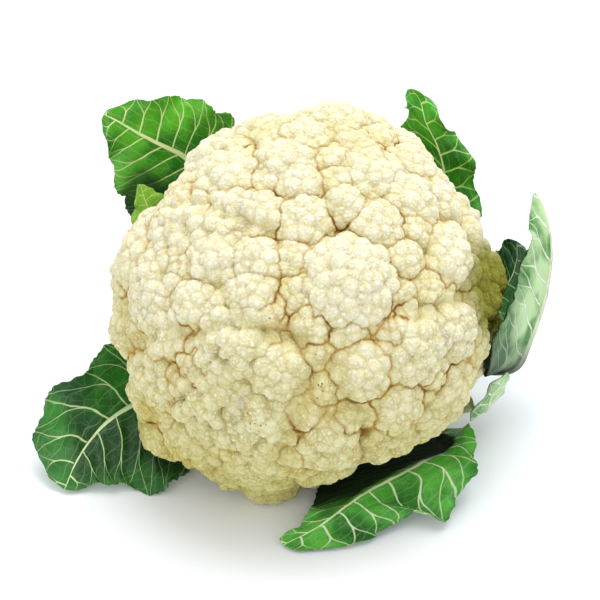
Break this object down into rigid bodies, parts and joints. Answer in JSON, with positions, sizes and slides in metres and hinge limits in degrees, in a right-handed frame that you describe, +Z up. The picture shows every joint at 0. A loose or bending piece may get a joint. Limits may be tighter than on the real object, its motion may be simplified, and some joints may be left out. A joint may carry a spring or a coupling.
{
  "type": "cauliflower",
  "caption": "Domed white head of tightly packed florets on a short cut stem, wrapped from behind by waved green leaves, lying tipped forward on a surface",
  "frame": {"origin": "On the table, under the middle of the whole head with its leaves", "axes": "+Z up, -Y towards the side that the face of the head leans to, +X to the right of someone who faces it"},
  "size_m": [0.239, 0.2212, 0.1597],
  "materials": {
    "curd": "matte, waxy, faintly grainy",
    "stem": "matte, moist",
    "leaf": "waxy, satin, with pale ribs"
  },
  "bodies": {
    "root": {"curd": "curd", "stem": "stem", "leaf_left": "leaf", "leaf_front_right": "leaf", "leaf_right": "leaf", "leaf_right_small": "leaf", "leaf_right_inner": "leaf", "leaf_upper_right": "leaf", "leaf_upper_left": "leaf", "leaf_sprig": "leaf", "leaf_back": "leaf"}
  },
  "joints": []
}
